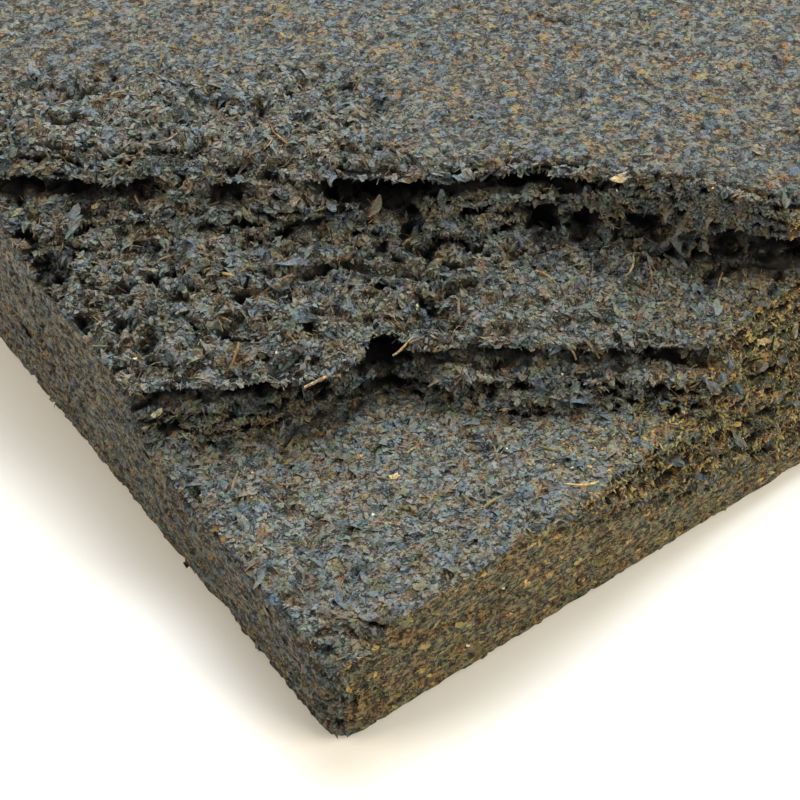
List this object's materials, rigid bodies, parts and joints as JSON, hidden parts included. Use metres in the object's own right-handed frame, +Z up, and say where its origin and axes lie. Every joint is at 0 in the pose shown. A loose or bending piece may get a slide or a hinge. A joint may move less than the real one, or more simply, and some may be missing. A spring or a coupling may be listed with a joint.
{
  "type": "pressed dark tea brick",
  "caption": "Rectangular brick of pressed dark tea leaf, one corner pried away in rough terraces and one long side broken back in a scoop.",
  "frame": {"origin": "on the ground under the middle of the brick, which lies on its broad face", "axes": "+X along the long side, away from the pried corner; +Y along the short side, away from the pried corner; +Z up through the thickness"},
  "size_m": [0.35, 0.185, 0.052],
  "materials": {
    "pressed_dark_tea": null
  },
  "bodies": {
    "root": {"tea_brick": "pressed_dark_tea"}
  },
  "joints": []
}
